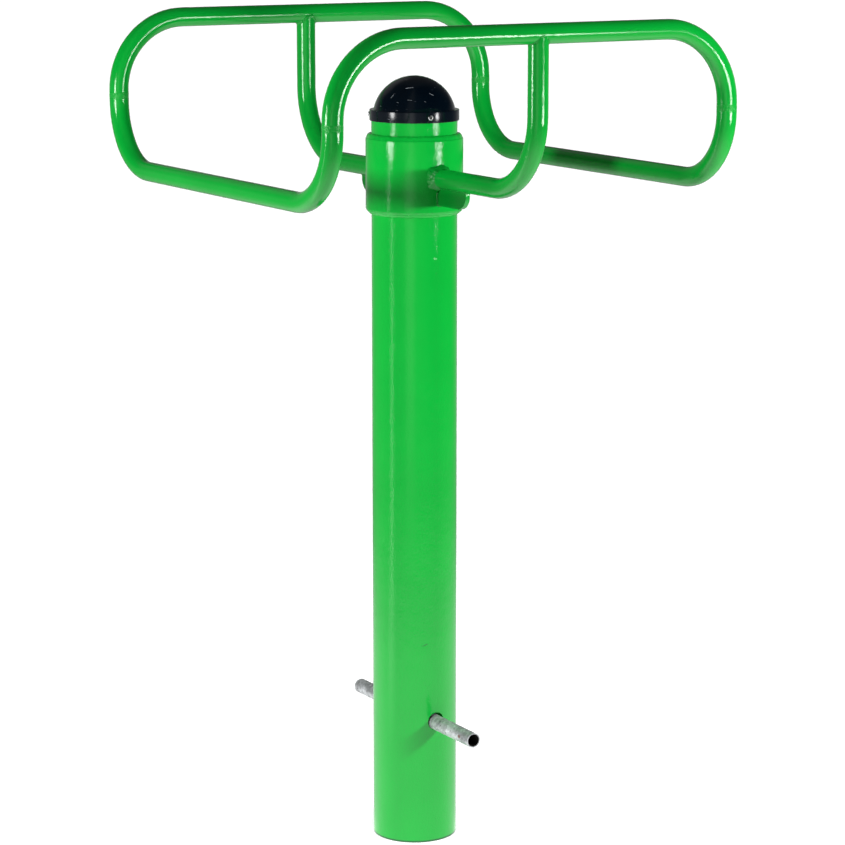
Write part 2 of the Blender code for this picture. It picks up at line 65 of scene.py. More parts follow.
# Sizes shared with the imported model
POST_RADIUS = 0.070
POST_BORE_RADIUS = 0.066
POST_LENGTH = 1.220
COLLAR_BORE_RADIUS = 0.0703
COLLAR_RADIUS = 0.0795
COLLAR_TOP = 1.177
COLLAR_BOTTOM = 1.061
UPPER_WELD_HEIGHT = 0.007
TUBE_RADIUS = 0.016
HALF_WIDTH = 0.355
HALF_DEPTH = 0.365
LOW_HEIGHT = 1.117
HIGH_HEIGHT = 1.361
JOINT_HEIGHT = 1.235
HIGH_BEND = 0.118
LOW_BEND = 0.110
ARM_BEND = 0.120
GUSSET_THICKNESS = 0.008
GUSSET_REACH = 0.086
GUSSET_DEPTH = 0.0275
GUSSET_CORNER = 0.024
CAP_RADIUS = 0.0729
CAP_BORE_RADIUS = 0.0704
CAP_BOTTOM = 1.2048
CAP_LEDGE = 1.2228
CAP_DOME_BASE = 0.0665
CAP_TOP = 1.2768
CAP_WALL = 0.0025
SCREW_HEIGHT = 1.2138
SCREW_TURNS_DEG = (-100.0, 20.0, 140.0)
SCREW_LENGTH = 0.012
SCREW_SHANK_RADIUS = 0.0025
SCREW_HEAD_RADIUS = 0.0044
SCREW_HEAD_HEIGHT = 0.0026
ANCHOR_RADIUS = 0.0125
ANCHOR_BORE_RADIUS = 0.0105
ANCHOR_HALF_LENGTH = 0.186
ANCHOR_SHIFT = 0.002
ANCHOR_HEIGHT = 0.207
GAP = 0.0003

# Sizes that only the visible pieces have
LOWER_WELD_HEIGHT = 0.0080
ANCHOR_HOLE_RADIUS = 0.0148
ANCHOR_HOLE_HEIGHT = 0.2090
TUBE_INSET = 0.00003
TUBE_STEP = 0.02
RAIL_GAP = 0.0002
CORNER_GAP = 0.0013
CORNER_WELD_HALF = 0.0070
CORNER_WELD_BORE_RADIUS = 0.0145
CORNER_WELD_INSET = 0.00006
CORNER_WELD_RISE = 0.0003
TOE_LIFT = 0.0001
ROOT_DEPTH = 0.0008
COLLAR_WELD_INSET = 0.0008
COLLAR_RIPPLES = 92.0
COLLAR_RIPPLE_HEIGHT = 0.0010
BEAD_PITCH = 0.0032
GUSSET_COLLAR_BEAD_RADIUS = 0.00224
GUSSET_ARM_BEAD_RADIUS = 0.00176
GUSSET_NOTCH = 0.0095
SCREW_RIM = 0.0006
SCREW_CROWN_TURN = 0.72 * QUARTER
SCREW_SOCKET = ((0.00225, 0.0), (0.00210, 0.0003), (0.00205, 0.0021), (0.00060, 0.0024))
ANCHOR_STEP = 0.004
ZINC_DENT = 0.00016

# How round the edges are
POST_EDGE = 0.0007
COLLAR_EDGE = 0.0016
CAP_EDGE = 0.0010
ANCHOR_EDGE = 0.0004
GUSSET_EDGE = 0.0030

# How many points go round a piece or along it
POST_SIDES = 192
COLLAR_WELD_SIDES = 480
CAP_SIDES = 144
TUBE_SIDES = 48
SCREW_SIDES = 36
ANCHOR_SIDES = 72
BEAD_SIDES = 16
CORNER_WELD_SIDES = 96
CORNER_WELD_STEPS = 18
COLLAR_WELD_STEPS = 16
FILLET_STEPS = 12
GUSSET_CORNER_STEPS = 16

# Short scrapes on the dome: middle, direction, half length, half width, how pale
CAP_SCRAPES = (
    ((-0.0291, -0.0337, 1.2599), (0.839, -0.528, 0.130), 0.0056, 0.0009, 0.62),
    ((-0.0528, -0.0199, 1.2466), (0.625, -0.260, 0.736), 0.0031, 0.0008, 0.45),
    ((-0.0005, -0.0543, 1.2496), (0.824, -0.345, -0.450), 0.0031, 0.0009, 0.45),
    ((-0.0365, -0.0471, 1.2414), (0.767, -0.639, -0.065), 0.0031, 0.0008, 0.22),
    ((-0.0514, -0.0340, 1.2374), (0.381, -0.860, -0.338), 0.0013, 0.0009, 0.22),
    ((-0.0150, -0.0592, 1.2386), (0.787, -0.425, -0.448), 0.0011, 0.0008, 0.18),
)
# The rust mark on the anchor tube: middle, direction, half length, half width, how strong
RUST_MARKS = (((-0.0123, -0.1621, 0.2090), (0.0, 1.0, 0.0), 0.0010, 0.0036, 1.0),)

# The studio
LAMP_AIM = (0.0, 0.0, 1.10)
FLOOR_RADIUS = 60.0
FLOOR_DROP = 0.0006
FLOOR_WHITE = (0.93, 0.93, 0.93, 1.0)
FLOOR_LIFT = 0.10
FLOOR_SUN = 3.35
FLOOR_SUN_SPREAD_DEG = 75.0
FLOOR_SUN_TILT_DEG = (12.0, -8.0, 0.0)
FAINT_FILL = 0.03

# The camera of the photograph, worked out from the tubes' centre lines
CAMERA_PLACE = (-2.34330, -3.93900, 1.59695)
CAMERA_PITCH_DEG = 11.01414
CAMERA_TURN_DEG = 30.91348
CAMERA_LENS = 120.145
SENSOR_WIDTH = 36.0
VIEW_TURN = math.radians(CAMERA_TURN_DEG)
TO_CAMERA = Vector((-math.sin(VIEW_TURN), -math.cos(VIEW_TURN), 0.0))
TO_RIGHT = Vector((math.cos(VIEW_TURN), -math.sin(VIEW_TURN), 0.0))


def around(turn_deg, distance, height):
    """A place round the post: turns count to the right from the camera's side."""
    turn = math.radians(turn_deg)
    return (TO_CAMERA * math.cos(turn) + TO_RIGHT * math.sin(turn)) * distance + UP * height


# Faint scratches in the post's paint: middle, direction, half length, half width, how dark
POST_SCRATCHES = (
    (around(16.0, POST_RADIUS, 0.3430), (0.822, -0.515, 0.240), 0.0052, 0.0013, 0.70),
    (around(12.5, POST_RADIUS, 0.3412), (0.850, -0.440, 0.060), 0.0030, 0.0012, 0.45),
)


def skin(name, rings, closed=False):
    """A surface through rings of points: the last joins the first, or both ends are filled."""
    work = bmesh.new()
    rows = [[work.verts.new(point) for point in ring] for ring in rings]
    pairs = list(zip(rows, rows[1:]))
    if closed:
        pairs.append((rows[-1], rows[0]))
    for low, high in pairs:
        for number in range(len(low)):
            after = (number + 1) % len(low)
            work.faces.new((low[number], low[after], high[after], high[number]))
    if not closed:
        work.faces.new(list(reversed(rows[0])))
        work.faces.new(rows[-1])
    return settled(name, work)


def settled(name, work, sharp_deg=40.0):
    """A finished mesh as an object in the scene, smooth but for its sharp edges."""
    bmesh.ops.recalc_face_normals(work, faces=work.faces)
    mesh = bpy.data.meshes.new(name)
    work.to_mesh(mesh)
    work.free()
    mesh.shade_smooth()
    mesh.set_sharp_from_angle(angle=math.radians(sharp_deg))
    item = bpy.data.objects.new(name, mesh)
    bpy.context.scene.collection.objects.link(item)
    return item


def shown(item, node, material):
    """Give a finished piece its material and let it stand for its CAD node."""
    item.data.materials.clear()
    item.data.materials.append(material)
    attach(item, "root")
    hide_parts(node)


def painted(node, rings, look, closed=False):
    """A green piece named after the CAD node that it stands for."""
    shown(skin("painted_" + node, rings, closed), node, MATERIALS[look])


def circle(radius, sides):
    """Points round a circle, as (across, up) pairs."""
    return [(radius * math.cos(TAU * number / sides), radius * math.sin(TAU * number / sides))
            for number in range(sides)]


def turned_rings(profile, sides, swell=None):
    """Rings about Z through (radius, height) points; swell moves a point by its turn."""
    rings = []
    for index, (radius, height) in enumerate(profile):
        ring = []
        for number in range(sides):
            turn = TAU * number / sides
            out, rise = swell(index, turn) if swell else (0.0, 0.0)
            ring.append(Vector(((radius + out) * math.cos(turn), (radius + out) * math.sin(turn),
                                height + rise)))
        rings.append(ring)
    return rings


def rounded(profile, corners, radius, steps=4):
    """The profile with the corners of the given numbers rounded."""
    smooth = []
    for number, point in enumerate(profile):
        here = Vector(point)
        if number not in corners:
            smooth.append((here.x, here.y))
            continue
        back = (Vector(profile[number - 1]) - here).normalized()
        ahead = (Vector(profile[(number + 1) % len(profile)]) - here).normalized()
        for step in range(steps + 1):
            share = step / steps
            point = here + back * radius * (1 - share) ** 2 + ahead * radius * share ** 2
            smooth.append((point.x, point.y))
    return smooth


def bent_path(corners, radius, steps=20):
    """A path through the corners, each inner corner rounded by an arc of the given radius."""
    corners = [Vector(corner) for corner in corners]
    path = [corners[0]]
    for before, corner, after in zip(corners, corners[1:], corners[2:]):
        back = (before - corner).normalized()
        ahead = (after - corner).normalized()
        half = back.angle(ahead) / 2.0
        centre = corner + (back + ahead).normalized() * radius / math.sin(half)
        first = corner + back * radius / math.tan(half) - centre
        last = corner + ahead * radius / math.tan(half) - centre
        sweep = math.pi - 2.0 * half
        for step in range(steps + 1):
            turn = sweep * step / steps
            out = first * math.sin(sweep - turn) + last * math.sin(turn)
            path.append(centre + out / math.sin(sweep))
    path.append(corners[-1])
    return path


def spaced(path, step):
    """The same path with points at most one step apart."""
    fine = [path[0]]
    for start, end in zip(path, path[1:]):
        count = max(1, math.ceil((end - start).length / step))
        fine += [start.lerp(end, number / count) for number in range(1, count + 1)]
    return fine


def tangents(path):
    """The direction of a path at each of its points."""
    return [(ahead - back).normalized()
            for back, ahead in zip(path[:1] + path[:-1], path[1:] + path[-1:])]


def flat_sweep(path, flat, radius, sides):
    """Rings round a path that lies in one plane; flat is the plane's normal."""
    rings = []
    for point, along in zip(path, tangents(path)):
        side = along.cross(flat)
        rings.append([point + flat * across + side * up for across, up in circle(radius, sides)])
    return rings


def build_tube(node, path, flat, trims=None):
    """A bent tube; trims move the points of its first and last ring onto what they meet."""
    rings = flat_sweep(spaced(path, TUBE_STEP), Vector(flat), TUBE_RADIUS - TUBE_INSET, TUBE_SIDES)
    if trims:
        rings[0] = [trims[0](point) for point in rings[0]]
        rings[-1] = [trims[1](point) for point in rings[-1]]
    painted(node, rings, "tube")


def smooth_noise(spot, scale, seed):
    """Soft noise between -1 and 1, the same in every run; the seed moves it along."""
    return noise.noise(Vector(spot) * scale + Vector((seed * 7.3, seed * 3.1, seed * 5.7)))


def build_bead(node, path, radius, seed, rough):
    """A weld bead along a path, its overlapping ripples softened by paint."""
    path = spaced(path, BEAD_PITCH / 6.0)
    ways = tangents(path)
    side = ways[0].orthogonal().normalized()
    rings = []
    run = 0.0
    for number, (point, along) in enumerate(zip(path, ways)):
        if number:
            run += (point - path[number - 1]).length
        side = (side - along * side.dot(along)).normalized()
        other = along.cross(side)
        phase = run / BEAD_PITCH + 0.35 * smooth_noise(point, 140.0, seed + 1)
        ripple = 0.90 + 0.10 * abs(math.sin(math.pi * phase))
        lump = 1.0 + rough * smooth_noise(point, 95.0, seed)
        share = number / (len(path) - 1)
        taper = min(1.0, 0.45 + 9.0 * min(share, 1.0 - share))
        size = radius * min(ripple * lump, 1.0) * taper
        ring = []
        for across, up in circle(1.0, BEAD_SIDES):
            way = side * across + other * up
            fine = 1.0 + 0.5 * rough * smooth_noise(point + way * size, 420.0, seed + 2)
            ring.append(point + way * size * min(fine, 1.0))
        rings.append(ring)
    painted(node, rings, "weld")


def turn_to_side(point, turn):
    """A point of the front side, carried round the post to the wanted side."""
    cos, sin = math.cos(turn), math.sin(turn)
    return Vector((point[0] * cos - point[1] * sin, point[0] * sin + point[1] * cos, point[2]))


# Materials

def wire(tree, item, wires):
    """Feed a node's inputs, each by a value or by another node's output."""
    for key, value in wires.items():
        if isinstance(value, bpy.types.NodeSocket):
            tree.links.new(value, item.inputs[key])
        else:
            item.inputs[key].default_value = value
    return item


def place(tree, kind, wires=None, **settings):
    """A new node in a tree."""
    item = tree.nodes.new("ShaderNode" + kind)
    for key, value in settings.items():
        setattr(item, key, value)
    return wire(tree, item, wires or {})


def calc(tree, operation, first, second=0.0, clamp=False):
    return place(tree, "Math", {0: first, 1: second}, operation=operation,
                 use_clamp=clamp).outputs[0]


def plus(tree, first, second, clamp=False):
    return calc(tree, "ADD", first, second, clamp)


def times(tree, first, second):
    return calc(tree, "MULTIPLY", first, second)


def arrow(tree, operation, wires, result="Vector"):
    """A sum on whole places or directions."""
    return place(tree, "VectorMath", wires, operation=operation).outputs[result]


def blend(tree, share, low, high):
    """A colour between two colours."""
    return place(tree, "Mix", {0: share, 6: low, 7: high}, data_type="RGBA").outputs[2]


def between(tree, share, low, high):
    """A number between two numbers."""
    return place(tree, "Mix", {0: share, 2: low, 3: high}, data_type="FLOAT").outputs[0]


def spread(tree, value, low, high, to_low=0.0, to_high=1.0):
    """A number carried over from one range to another, and kept inside it."""
    return place(tree, "MapRange", {"Value": value, "From Min": low, "From Max": high,
                                    "To Min": to_low, "To Max": to_high}, clamp=True).outputs[0]


def cloud(tree, where, scale, detail=3.0, roughness=0.5):
    return place(tree, "TexNoise", {"Vector": where, "Scale": scale, "Detail": detail,
                                    "Roughness": roughness}).outputs["Fac"]


def cells(tree, where, scale):
    """A field of cells: the distance to each one's middle, and three chances of its own."""
    cell = place(tree, "TexVoronoi", {"Vector": where, "Scale": scale}).outputs
    return cell["Distance"], place(tree, "SeparateColor", {0: cell["Color"]}).outputs


def height_of(tree, where):
    return place(tree, "SeparateXYZ", {0: where}).outputs[2]


def towards(tree, way, turn_deg, inner_deg, outer_deg):
    """1 where a flat direction lies near the wanted turn round the post, 0 away from it."""
    flat = arrow(tree, "MULTIPLY", {0: way, 1: (1.0, 1.0, 0.0)})
    unit = arrow(tree, "NORMALIZE", {0: flat})
    near = arrow(tree, "DOT_PRODUCT", {0: unit, 1: around(turn_deg, 1.0, 0.0)}, "Value")
    return spread(tree, near, math.cos(math.radians(outer_deg)), math.cos(math.radians(inner_deg)))


def new_group(name, vectors, values, results):
    """A shader group: its vector inputs, its number inputs with their values, its results."""
    tree = bpy.data.node_groups.new(name, "ShaderNodeTree")
    for label in vectors:
        tree.interface.new_socket(label, in_out="INPUT", socket_type="NodeSocketVector")
    for label, value in values.items():
        socket = tree.interface.new_socket(label, in_out="INPUT", socket_type="NodeSocketFloat")
        socket.default_value = value
    for label in results:
        tree.interface.new_socket(label, in_out="OUTPUT", socket_type="NodeSocketFloat")
    return tree, tree.nodes.new("NodeGroupInput").outputs, tree.nodes.new("NodeGroupOutput")


def paint_film_group():
    """Sprayed film: orange peel, slow waves of the film, dust nibs and a faint change of tone."""
    tree, given, result = new_group(
        "paint film", ("Where",),
        {"Peel Size": 0.004, "Peel": 0.3, "Wave": 0.5, "Nibs": 0.5, "Haze": 0.03},
        ("Height", "Tone", "Dullness"))
    where = given["Where"]
    fine = calc(tree, "DIVIDE", 1.0, given["Peel Size"])
    peel = cloud(tree, where, fine, 2.5, 0.62)
    wave = cloud(tree, where, times(tree, fine, 0.16), 2.0)
    away, chance = cells(tree, where, times(tree, fine, 0.30))
    nib = times(tree, spread(tree, away, 0.05, 0.11, 1.0, 0.0),
                calc(tree, "GREATER_THAN", chance[0], 0.86))
    nib = times(tree, nib, given["Nibs"])
    height = plus(tree, times(tree, peel, given["Peel"]), times(tree, wave, given["Wave"]))
    broad = cloud(tree, where, 7.0, 4.0)
    tone = calc(tree, "SUBTRACT", spread(tree, broad, 0.3, 0.7, 0.94, 1.05),
                times(tree, nib, 0.15))
    patch = cloud(tree, where, 26.0, 5.0, 0.6)
    dull = times(tree, spread(tree, patch, 0.35, 0.75), given["Haze"])
    wire(tree, result, {"Height": plus(tree, height, nib), "Tone": tone,
                        "Dullness": plus(tree, dull, times(tree, nib, 0.2))})
    return tree


def specks_group():
    """Small sharp marks scattered over a surface, each with its own size."""
    tree, given, result = new_group(
        "specks", ("Where",), {"Spacing": 0.01, "Size": 0.2, "Share": 0.3}, ("Mask", "Chance"))
    bend = place(tree, "TexNoise", {"Vector": given["Where"], "Scale": 300.0, "Detail": 2.0})
    shake = arrow(tree, "SCALE", {0: bend.outputs["Color"], "Scale": 0.004})
    moved = arrow(tree, "ADD", {0: given["Where"], 1: shake})
    away, chance = cells(tree, moved, calc(tree, "DIVIDE", 1.0, given["Spacing"]))
    size = times(tree, given["Size"], spread(tree, chance[1], 0.0, 1.0, 0.3, 1.0))
    inside = calc(tree, "LESS_THAN", away, size)
    kept = calc(tree, "LESS_THAN", chance[0], given["Share"])
    wire(tree, result, {"Mask": times(tree, inside, kept), "Chance": chance[2]})
    return tree


def scrape_group():
    """One short mark at a given place."""
    tree, given, result = new_group(
        "scrape", ("Where", "Middle", "Along"), {"Half Length": 0.002, "Half Width": 0.0008},
        ("Mask",))
    local = arrow(tree, "SUBTRACT", {0: given["Where"], 1: given["Middle"]})
    run = arrow(tree, "DOT_PRODUCT", {0: local, 1: given["Along"]}, "Value")
    run = calc(tree, "MAXIMUM", run, times(tree, given["Half Length"], -1.0))
    run = calc(tree, "MINIMUM", run, given["Half Length"])
    near = arrow(tree, "SCALE", {0: given["Along"], "Scale": run})
    away = arrow(tree, "DISTANCE", {0: local, 1: near}, "Value")
    soft = times(tree, given["Half Width"], 0.4)
    wire(tree, result, {"Mask": spread(tree, away, soft, given["Half Width"], 1.0, 0.0)})
    return tree


def zinc_group():
    """Hot dip galvanising: frosty crystals, pale and dark patches, small lumps."""
    tree, given, result = new_group(
        "zinc coat", ("Where",), {"Crystal Size": 0.004, "Patch Size": 0.03},
        ("Tone", "Dullness", "Height"))
    where = given["Where"]
    scale = calc(tree, "DIVIDE", 1.0, given["Crystal Size"])
    grain = cells(tree, where, scale)[1]
    patch = cloud(tree, where, calc(tree, "DIVIDE", 1.0, given["Patch Size"]), 5.0, 0.65)
    fine = cloud(tree, where, times(tree, scale, 3.0), 3.0)
    tone = times(tree, spread(tree, grain[0], 0.0, 1.0, 0.72, 1.20),
                 spread(tree, patch, 0.32, 0.66, 0.55, 1.25))
    dull = plus(tree, spread(tree, grain[1], 0.0, 1.0, 0.0, 0.14),
                spread(tree, patch, 0.35, 0.70, 0.12, 0.0))
    height = plus(tree, times(tree, fine, 0.35), times(tree, patch, 1.2))
    wire(tree, result, {"Tone": tone, "Dullness": dull, "Height": height})
    return tree


FILM = paint_film_group()
SPECKS = specks_group()
SCRAPE = scrape_group()
ZINC_COAT = zinc_group()


def new_material(name, **shader_values):
    """A material with its own Principled BSDF, and places on the piece itself."""
    material = bpy.data.materials.new(name)
    material.use_nodes = True
    tree = material.node_tree
    shader = wire(tree, tree.nodes["Principled BSDF"], shader_values)
    where = tree.nodes.new("ShaderNodeTexCoord").outputs["Object"]
    return material, tree, shader, where


def use_group(tree, group, wires):
    return place(tree, "Group", wires, node_tree=group).outputs


def film_on(tree, where, size, peel, wave, nibs, haze):
    """The paint film: the size of its orange peel, and how strong each of its parts is."""
    return use_group(tree, FILM, {"Where": where, "Peel Size": size, "Peel": peel,
                                  "Wave": wave, "Nibs": nibs, "Haze": haze})


def specks_on(tree, where, spacing, size, share):
    return use_group(tree, SPECKS, {"Where": where, "Spacing": spacing, "Size": size,
                                    "Share": share})


def marks_on(tree, where, marks):
    """Short marks, one after the other: each is a mask, as strong as its mark."""
    for middle, along, half_length, half_width, strength in marks:
        mark = use_group(tree, SCRAPE, {"Where": where, "Middle": middle, "Along": along,
                                        "Half Length": half_length, "Half Width": half_width})
        yield times(tree, mark["Mask"], strength)


def toned(tree, colour, tone):
    """A colour made lighter or darker by a factor."""
    grey = place(tree, "CombineColor", {0: tone, 1: tone, 2: tone}).outputs[0]
    return place(tree, "Mix", {0: 1.0, 6: colour, 7: grey}, data_type="RGBA",
                 blend_type="MULTIPLY").outputs[2]


def coat(tree, shader, colour, rough, height, relief):
    """Give a shader its colour, its roughness and a fine relief."""
    bump = place(tree, "Bump", {"Strength": 1.0, "Distance": relief, "Height": height})
    wire(tree, shader, {"Base Color": colour, "Roughness": rough, "Normal": bump.outputs[0]})


GREEN = (0.0026, 0.440, 0.041, 1.0)
# The post's green darkened for the tubes, plates and dressed welds: painted shade, a shaded copy of
# the same paint
TUBE_GREEN_WITH_PAINTED_SHADE = (0.0019, 0.325, 0.030, 1.0)
# Darker still for the arm, rail and plate welds: painted shade at the joints
WELD_GREEN_WITH_PAINTED_SHADE = (0.0015, 0.255, 0.024, 1.0)
BLACK = (0.0004, 0.0030, 0.0066, 1.0)
# Dark green for the post's scratches, and painted shadow for the dark line at its foot
SCRATCH_AND_FOOT_SHADOW_GREEN = (0.012, 0.105, 0.034, 1.0)
SCRAPED_PLASTIC = (0.46, 0.50, 0.54, 1.0)
PLATED_STEEL = (0.66, 0.665, 0.67, 1.0)
# Painted shade for the inside of the screw sockets and the anchor tube's bore
RECESS_SHADE_DARK = (0.030, 0.028, 0.026, 1.0)
ZINC = (0.56, 0.58, 0.595, 1.0)
DIRT = (0.085, 0.08, 0.07, 1.0)
RUST = (0.20, 0.085, 0.04, 1.0)
PAINT = {"Metallic": 0.0, "IOR": 1.44}

# Spray dust on the collar's right front: how fine, how coarse, where it fades by turn and height
DUST_SCALE = 250.0
DUST_RELIEF = 0.65
DUST_TURNS_DEG = (31.0, 9.0, 20.0)
DUST_HEIGHTS = (1.07, 1.13)
# Painted shadow: the dark line at the post's foot, where it meets the floor: where it fades by
# height, and how dark it is
FOOT_SHADOW_HEIGHTS = (0.0020, 0.0036)
FOOT_SHADOW_DARKNESS = 0.90


def coated(name, colour, film, rough, relief, on_post=False, **shader_values):
    """A plain coat with the paint film's relief; on the post also dust, scratches and a painted
    shadow line at its foot.
    """
    material, tree, shader, where = new_material(name, **shader_values)
    out = film_on(tree, where, *film)
    height = out["Height"]
    colour = toned(tree, colour, out["Tone"])
    if on_post:
        up = height_of(tree, where)
        dust = calc(tree, "SUBTRACT", cloud(tree, where, DUST_SCALE, 1.5), 0.5)
        dust = times(tree, times(tree, dust, DUST_RELIEF), towards(tree, where, *DUST_TURNS_DEG))
        height = plus(tree, height, times(tree, dust, spread(tree, up, *DUST_HEIGHTS)))
        # Painted shadow: the foot is darkened where the post meets the floor
        edge = spread(tree, up, *FOOT_SHADOW_HEIGHTS, FOOT_SHADOW_DARKNESS, 0.0)
        colour = blend(tree, edge, colour, SCRATCH_AND_FOOT_SHADOW_GREEN)
        for mark in marks_on(tree, where, POST_SCRATCHES):
            colour = blend(tree, mark, colour, SCRATCH_AND_FOOT_SHADOW_GREEN)
    coat(tree, shader, colour, plus(tree, out["Dullness"], rough), height, relief)
    return material


def dressed_paint():
    """Paint over a ground weld: coarse in the joint's middle, as smooth as the tube at its ends."""
    material, tree, shader, where = new_material("green paint on the dressed welds", **PAINT)
    out = film_on(tree, where, 0.0026, 1.0, 0.5, 0.8, 0.08)
    away = calc(tree, "SUBTRACT", height_of(tree, where), JOINT_HEIGHT)
    middle = spread(tree, calc(tree, "ABSOLUTE", away), 0.0030, 0.0062, 1.0, 0.0)
    rough = plus(tree, out["Dullness"], spread(tree, middle, 0.0, 1.0, 0.16, 0.30))
    rise = calc(tree, "SUBTRACT", out["Height"], 0.75)
    rise = times(tree, rise, spread(tree, middle, 0.0, 1.0, 0.35, 1.0))
    # The dressed welds take the tubes' darker green, which is painted shade
    coat(tree, shader, toned(tree, TUBE_GREEN_WITH_PAINTED_SHADE, out["Tone"]), rough, rise, 0.0014)
    return material


def cap_plastic():
    """Gloss black plastic with faint specks and short pale scrapes."""
    material, tree, shader, where = new_material("moulded cap", Metallic=0.0, IOR=1.48)
    out = film_on(tree, where, 0.003, 0.2, 0.8, 0.3, 0.03)
    long = place(tree, "Mapping", {"Vector": where, "Rotation": (0.3, 0.2, 0.5),
                                   "Scale": (0.6, 1.0, 4.0)})
    speck = specks_on(tree, long.outputs[0], 0.013, 0.17, 0.45)
    faint = times(tree, speck["Mask"], spread(tree, speck["Chance"], 0.2, 1.0, 0.03, 0.25))
    for mark in marks_on(tree, where, CAP_SCRAPES):
        faint = calc(tree, "MAXIMUM", faint, mark)
    rough = plus(tree, plus(tree, out["Dullness"], 0.15), times(tree, faint, 0.3))
    height = plus(tree, out["Height"], times(tree, faint, 1.5))
    coat(tree, shader, blend(tree, faint, BLACK, SCRAPED_PLASTIC), rough, height, 0.00018)
    return material


def galvanised():
    """Zinc with specks of dirt and a few rust marks."""
    material, tree, shader, where = new_material("galvanised tube", Metallic=0.40)
    out = use_group(tree, ZINC_COAT, {"Where": where, "Crystal Size": 0.0045,
                                      "Patch Size": 0.022})
    stain = specks_on(tree, where, 0.030, 0.10, 0.25)["Mask"]
    for mark in marks_on(tree, where, RUST_MARKS):
        stain = calc(tree, "MAXIMUM", stain, mark)
    dirt = specks_on(tree, where, 0.0055, 0.26, 0.40)
    soiled = times(tree, dirt["Mask"], spread(tree, dirt["Chance"], 0.0, 1.0, 0.25, 0.85))
    colour = blend(tree, soiled, toned(tree, ZINC, out["Tone"]), DIRT)
    colour = blend(tree, times(tree, stain, 0.80), colour, RUST)
    rough = plus(tree, plus(tree, out["Dullness"], 0.33), times(tree, stain, 0.35), clamp=True)
    coat(tree, shader, colour, rough, out["Height"], 0.0004)
    return material


# Each coat: name, colour, (peel size, peel, wave, nibs, haze), roughness, relief
MATERIALS = {
    "post": coated("green paint on the post", GREEN, (0.0036, 0.60, 0.80, 0.4, 0.05), 0.07,
                   0.00050, on_post=True, **PAINT),
    # The tubes and plates take the post's paint darkened as painted shade
    "tube": coated("green paint on the tubes", TUBE_GREEN_WITH_PAINTED_SHADE, (0.0034, 0.50, 0.60, 0.4, 0.05),
                   0.085, 0.00050, **PAINT),
    # The weld paint is darkened further as painted shade at the joints
    "weld": coated("green paint on the arm welds", WELD_GREEN_WITH_PAINTED_SHADE, (0.0034, 0.80, 0.70, 0.8, 0.08),
                   0.10, 0.00090, Metallic=0.0, IOR=1.38),
    "ring": coated("green paint on the collar welds", GREEN, (0.0034, 0.80, 0.70, 0.8, 0.12),
                   0.14, 0.00065, **PAINT),
    "dressed": dressed_paint(),
    "cap": cap_plastic(),
    "screw": coated("plated screw", PLATED_STEEL, (0.0009, 0.5, 0.4, 0.2, 0.12), 0.22, 0.00004,
                    Metallic=1.0),
    # Painted shade inside the screw sockets and the anchor's bore
    "socket": coated("painted shade in sockets and bores", RECESS_SHADE_DARK, (0.0007, 0.8, 0.4, 0.4, 0.20), 0.50, 0.00005,
                     Metallic=0.3),
    "zinc": galvanised(),
}


# Pieces

def true_round(item, split_deg=30.0):
    """Shade a cut round piece as a true round: each outer or inner point looks straight out."""
    mesh = item.data
    ways = []
    limit = math.sin(math.radians(split_deg))
    for face in mesh.polygons:
        flat = face.normal
        for index in face.loop_indices:
            spot = mesh.vertices[mesh.loops[index].vertex_index].co
            out = Vector((spot.x, spot.y, 0.0)).normalized()
            middle = Vector((face.center.x, face.center.y, 0.0)).normalized()
            if abs(flat.z) < limit and flat.dot(middle) > 0.9:
                ways.append(out)
            elif abs(flat.z) < limit and flat.dot(middle) < -0.9:
                ways.append(-out)
            else:
                ways.append(flat)
    mesh.normals_split_custom_set(ways)


def build_post():
    """The post's tube, with two round holes cut through it for the anchor tube."""
    outer = [(POST_BORE_RADIUS, POST_LENGTH), (POST_RADIUS, POST_LENGTH), (POST_RADIUS, 0.0),
             (POST_BORE_RADIUS, 0.0)]
    post = skin("painted_post", turned_rings(rounded(outer, (1, 2), POST_EDGE, 2), POST_SIDES),
                closed=True)
    hole = [(across, ANCHOR_HOLE_HEIGHT + up)
            for across, up in circle(ANCHOR_HOLE_RADIUS, ANCHOR_SIDES)]
    cutter = skin("anchor_hole_cutter", [[Vector((across, reach, up)) for across, up in hole]
                                         for reach in (-0.1, 0.1)])
    cut = post.modifiers.new("holes", "BOOLEAN")
    cut.operation = "DIFFERENCE"
    cut.solver = "EXACT"
    cut.object = cutter
    bpy.context.view_layer.update()
    seen = post.evaluated_get(bpy.context.evaluated_depsgraph_get())
    mesh = bpy.data.meshes.new_from_object(seen)
    post.modifiers.clear()
    post.data = mesh
    bpy.data.objects.remove(cutter)
    true_round(post)
    shown(post, "post", MATERIALS["post"])


def build_collar():
    """The thick sleeve round the post's upper end."""
    profile = [(COLLAR_BORE_RADIUS, COLLAR_TOP), (COLLAR_RADIUS, COLLAR_TOP),
               (COLLAR_RADIUS, COLLAR_BOTTOM), (COLLAR_BORE_RADIUS, COLLAR_BOTTOM)]
    rings = turned_rings(rounded(profile, (1, 2), COLLAR_EDGE, 5), POST_SIDES)
    collar = skin("painted_collar", rings, closed=True)
    shown(collar, "collar_sleeve", MATERIALS["post"])


